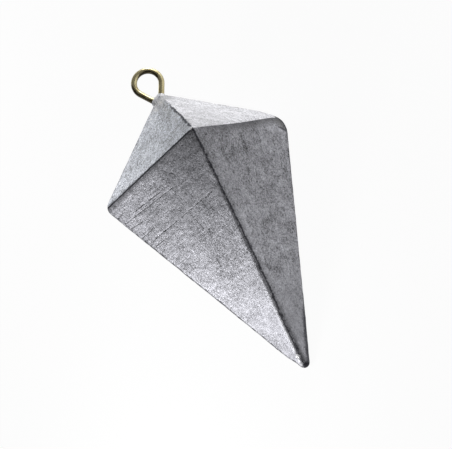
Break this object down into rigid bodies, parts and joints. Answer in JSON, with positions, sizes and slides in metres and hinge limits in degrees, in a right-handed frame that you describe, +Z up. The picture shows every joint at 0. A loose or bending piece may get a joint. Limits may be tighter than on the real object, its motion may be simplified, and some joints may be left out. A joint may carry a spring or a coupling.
{
  "type": "fishing sinker",
  "caption": "Pyramid fishing sinker of cast lead with a long taper to a blunt point and a brass wire eye cast into its low roof for tying on a line.",
  "frame": {"origin": "on the resting long face, straight below the centre of the girth, the widest section", "axes": "+Z up, out of the surface the sinker lies on; +X from the blunt point towards the eye; the resting face's normal is -Z"},
  "size_m": [0.0548, 0.0238, 0.0224],
  "materials": {
    "lead": "dull as-cast lead",
    "brass_wire": "drawn wire, slightly tarnished"
  },
  "bodies": {
    "root": {"lead_casting": "lead", "brass_eyelet": "brass_wire"}
  },
  "joints": []
}
